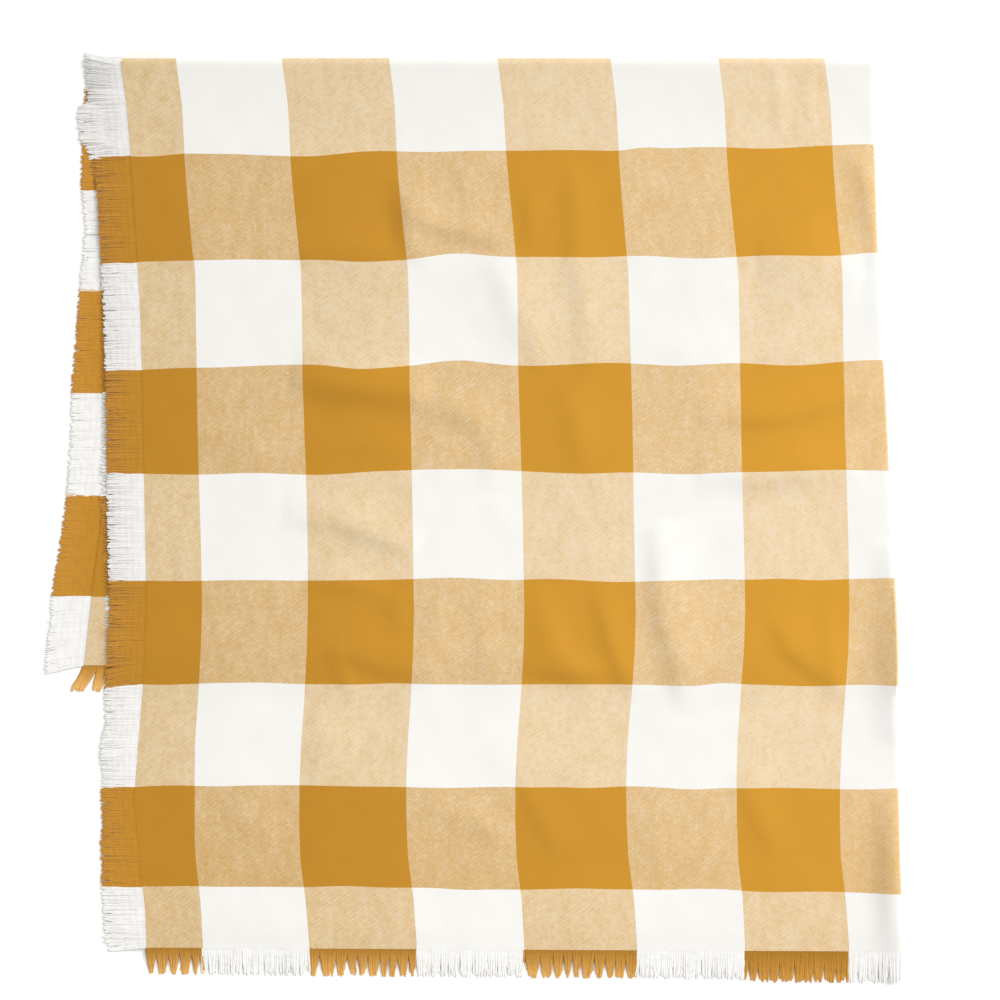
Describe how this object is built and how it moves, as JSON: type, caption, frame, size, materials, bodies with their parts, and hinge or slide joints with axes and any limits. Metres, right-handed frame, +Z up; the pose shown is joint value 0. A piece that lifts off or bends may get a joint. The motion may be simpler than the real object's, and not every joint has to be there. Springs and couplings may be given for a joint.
{
  "type": "blanket scarf",
  "caption": "Large square blanket scarf in a broad two-colour check with self fringe, folded into quarters and lying flat.",
  "frame": {"origin": "centre of the footprint, on the surface that the folded scarf lies on", "axes": "+Z up from the surface; +Y towards the top fold; +X towards the side fold; the open side edge with its fringe is at -X and the hem at -Y"},
  "size_m": [0.7719, 0.8286, 0.0137],
  "materials": {
    "checked_twill": "soft brushed twill woven in a mustard and ivory check, matt with a light nap",
    "fringe_yarn": "loose matt yarn ends in mustard and ivory, the cloth's own yarns left unwoven"
  },
  "bodies": {
    "root": {"outer_leaves": "checked_twill", "hidden_leaves": "checked_twill", "front_side_fringe": "fringe_yarn", "front_hem_fringe": "fringe_yarn", "second_side_fringe": "fringe_yarn", "second_hem_fringe": "fringe_yarn", "third_side_fringe": "fringe_yarn", "back_side_fringe": "fringe_yarn", "back_hem_fringe": "fringe_yarn"}
  },
  "joints": []
}
